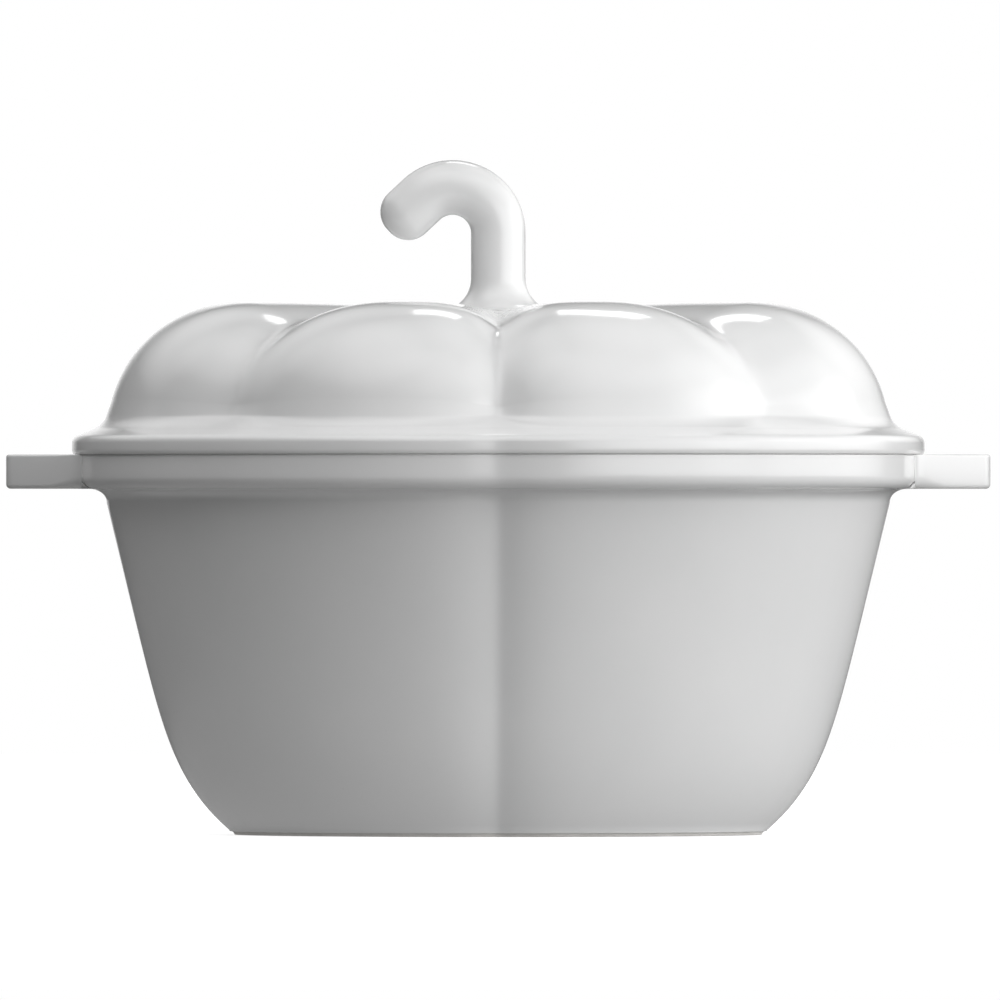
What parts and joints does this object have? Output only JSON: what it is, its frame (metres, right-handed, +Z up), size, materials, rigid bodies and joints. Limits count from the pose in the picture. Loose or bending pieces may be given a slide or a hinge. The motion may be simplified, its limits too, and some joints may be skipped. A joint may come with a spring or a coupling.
{
  "type": "covered casserole",
  "caption": "White glazed porcelain casserole shaped as a lobed pumpkin, with a domed lid, a hooked stem for a knob and flat lug handles.",
  "frame": {"origin": "centre of the foot, on the surface that the dish stands on", "axes": "+Z up; +X towards the right handle; -Y is the front, so that the stem hooks over to the left, towards -X"},
  "size_m": [0.28, 0.2424, 0.192],
  "materials": {
    "glazed_porcelain": "smooth clear gloss glaze over white porcelain",
    "unglazed_porcelain": "ground, unglazed, matt"
  },
  "bodies": {
    "dish": {"bowl": "glazed_porcelain", "foot_ring": "unglazed_porcelain", "left_handle": "glazed_porcelain", "right_handle": "glazed_porcelain"},
    "cover": {"lid": "glazed_porcelain", "locating_ring": "glazed_porcelain", "stem": "glazed_porcelain"}
  },
  "joints": [
    {"name": "lid_lift", "type": "slide", "parent": "dish", "child": "cover", "axis": [0, 0, 1], "range_m": [0, 0.12]}
  ]
}
